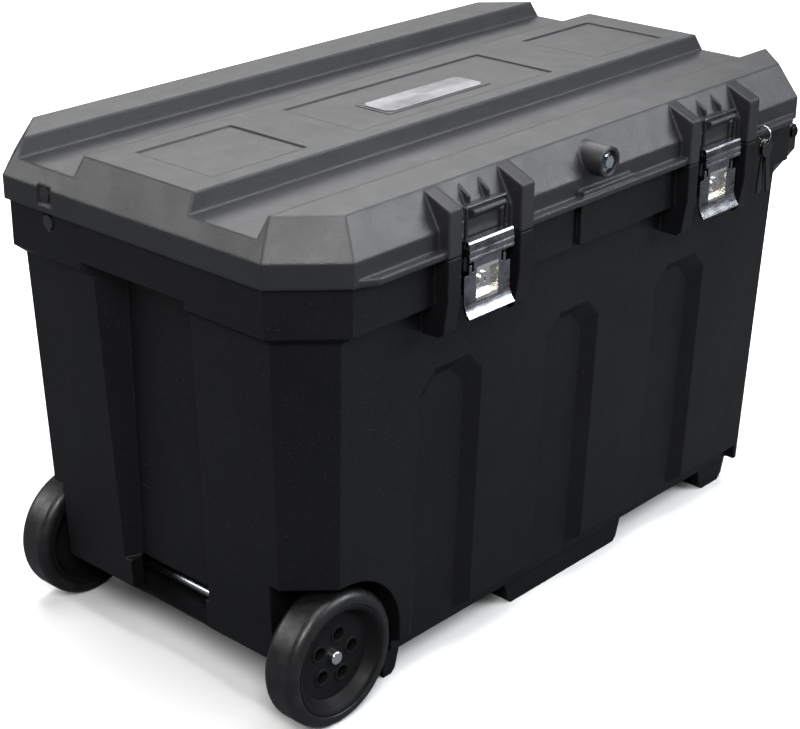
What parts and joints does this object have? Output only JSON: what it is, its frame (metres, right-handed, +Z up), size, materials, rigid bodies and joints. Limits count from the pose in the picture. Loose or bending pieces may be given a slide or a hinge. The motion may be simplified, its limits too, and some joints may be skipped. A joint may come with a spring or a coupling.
{
  "type": "wheeled job chest",
  "caption": "Wheeled black plastic job chest with a channelled hip lid, two draw latches, a sliding tray and a folding pull handle.",
  "frame": {"origin": "on the floor, under the middle of the whole closed chest", "axes": "+X along the length from the wheels to the pull handle, -Y to the latch side, +Z up"},
  "size_m": [0.924, 0.5644, 0.578],
  "materials": {
    "chest_plastic": "pebbled black structural foam",
    "lid_plastic": "fine satin black structural foam, scuffed edges",
    "tray_plastic": "smooth black polypropylene",
    "seal_rubber": "soft black rubber",
    "plate_aluminium": "brushed aluminium, blank",
    "bright_steel": "zinc plated steel",
    "bolt_black": "black oxide steel",
    "axle_chrome": "polished",
    "arm_zinc": "zinc plated strip steel",
    "latch_chrome": "polished plated steel with handling marks",
    "lock_steel": "plated die casting",
    "black_wire": "black coated steel wire",
    "wheel_rubber": "satin black moulded tread",
    "wheel_plastic": "black moulded hub",
    "handle_black": "black grip over steel bar",
    "key_metal": "nickel plated"
  },
  "bodies": {
    "chest": {"chest_body": "chest_plastic", "axle": "bright_steel", "axle_caps": "axle_chrome", "wheel_bushes": "bright_steel", "hinge_pins": "bright_steel", "handle_pins": "bright_steel", "stay_body_bolts": "bolt_black", "latch_base_left": "latch_chrome", "latch_base_right": "latch_chrome", "latch_pins": "latch_chrome", "latch_rivets": "latch_chrome"},
    "lid": {"lid": "lid_plastic", "lid_seal": "seal_rubber", "nameplate": "plate_aluminium", "centre_bolt": "bright_steel", "centre_washer": "bright_steel", "stay_lid_bolts": "bolt_black"},
    "tray": {"tray": "tray_plastic", "tray_divider": "tray_plastic"},
    "wheel_front": {"tyre_front": "wheel_rubber", "wheel_hub_front": "wheel_plastic"},
    "wheel_rear": {"tyre_rear": "wheel_rubber", "wheel_hub_rear": "wheel_plastic"},
    "pull_handle": {"pull_handle": "handle_black"},
    "keys": {"key_ring": "key_metal", "keys": "key_metal"},
    "latch_lever_left": {"latch_lever_left": "latch_chrome"},
    "latch_bail_left": {"latch_bail_left": "black_wire", "latch_saddle_left": "latch_chrome"},
    "lock_plug_left": {"lock_plug_left": "lock_steel"},
    "stay_lower_left": {"stay_lower_arm_left": "arm_zinc"},
    "stay_upper_left": {"stay_upper_arm_left": "arm_zinc"},
    "latch_lever_right": {"latch_lever_right": "latch_chrome"},
    "latch_bail_right": {"latch_bail_right": "black_wire", "latch_saddle_right": "latch_chrome"},
    "lock_plug_right": {"lock_plug_right": "lock_steel"},
    "stay_lower_right": {"stay_lower_arm_right": "arm_zinc"},
    "stay_upper_right": {"stay_upper_arm_right": "arm_zinc"}
  },
  "joints": [
    {"name": "lid_hinge", "type": "hinge", "parent": "chest", "child": "lid", "pos_m": [-0.01, 0.2742, 0.512], "axis": [-1, 0, 0], "range_deg": [0, 90]},
    {"name": "tray_slide", "type": "slide", "parent": "chest", "child": "tray", "axis": [1, 0, 0], "range_m": [0, 0.39]},
    {"name": "wheel_front_spin", "type": "hinge", "parent": "chest", "child": "wheel_front", "pos_m": [-0.384, -0.2023, 0.078], "axis": [0, 1, 0], "continuous": true},
    {"name": "wheel_rear_spin", "type": "hinge", "parent": "chest", "child": "wheel_rear", "pos_m": [-0.384, 0.2067, 0.078], "axis": [0, 1, 0], "continuous": true},
    {"name": "handle_swing", "type": "hinge", "parent": "chest", "child": "pull_handle", "pos_m": [0.451, 0.0022, 0.47], "axis": [0, -1, 0], "range_deg": [0, 95]},
    {"name": "keys_swing", "type": "hinge", "parent": "lid", "child": "keys", "pos_m": [0.287, -0.2633, 0.5155], "axis": [0, 1, 0], "range_deg": [-12, 12]},
    {"name": "latch_left_lever", "type": "hinge", "parent": "chest", "child": "latch_lever_left", "pos_m": [-0.2135, -0.2608, 0.5], "axis": [-1, 0, 0], "range_deg": [0, 95]},
    {"name": "latch_left_bail", "type": "hinge", "parent": "latch_lever_left", "child": "latch_bail_left", "pos_m": [-0.2135, -0.2623, 0.489], "axis": [-1, 0, 0], "range_deg": [-110, 0]},
    {"name": "lock_left_turn", "type": "hinge", "parent": "latch_lever_left", "child": "lock_plug_left", "pos_m": [-0.2135, -0.2618, 0.4715], "axis": [0, 1, 0], "range_deg": [0, 90]},
    {"name": "stay_lower_left_turn", "type": "hinge", "parent": "chest", "child": "stay_lower_left", "pos_m": [-0.43525, 0.1332, 0.5], "axis": [-1, 0, 0], "range_deg": [0, 112]},
    {"name": "stay_upper_left_turn", "type": "hinge", "parent": "lid", "child": "stay_upper_left", "pos_m": [-0.44025, 0.1312, 0.531], "axis": [-1, 0, 0], "range_deg": [-103, 0]},
    {"name": "latch_right_lever", "type": "hinge", "parent": "chest", "child": "latch_lever_right", "pos_m": [0.2025, -0.2608, 0.5], "axis": [-1, 0, 0], "range_deg": [0, 95]},
    {"name": "latch_right_bail", "type": "hinge", "parent": "latch_lever_right", "child": "latch_bail_right", "pos_m": [0.2025, -0.2623, 0.489], "axis": [-1, 0, 0], "range_deg": [-110, 0]},
    {"name": "lock_right_turn", "type": "hinge", "parent": "latch_lever_right", "child": "lock_plug_right", "pos_m": [0.2025, -0.2618, 0.4715], "axis": [0, 1, 0], "range_deg": [0, 90]},
    {"name": "stay_lower_right_turn", "type": "hinge", "parent": "chest", "child": "stay_lower_right", "pos_m": [0.41525, 0.1332, 0.5], "axis": [-1, 0, 0], "range_deg": [0, 112]},
    {"name": "stay_upper_right_turn", "type": "hinge", "parent": "lid", "child": "stay_upper_right", "pos_m": [0.42025, 0.1312, 0.531], "axis": [-1, 0, 0], "range_deg": [-103, 0]}
  ],
  "couplings": [
    {"joint": "latch_left_bail", "follows": "latch_left_lever", "ratio": -1.15},
    {"joint": "stay_lower_left_turn", "follows": "lid_hinge", "ratio": 1.232},
    {"joint": "stay_upper_left_turn", "follows": "lid_hinge", "ratio": -1.13},
    {"joint": "latch_right_bail", "follows": "latch_right_lever", "ratio": -1.15},
    {"joint": "stay_lower_right_turn", "follows": "lid_hinge", "ratio": 1.232},
    {"joint": "stay_upper_right_turn", "follows": "lid_hinge", "ratio": -1.13}
  ]
}
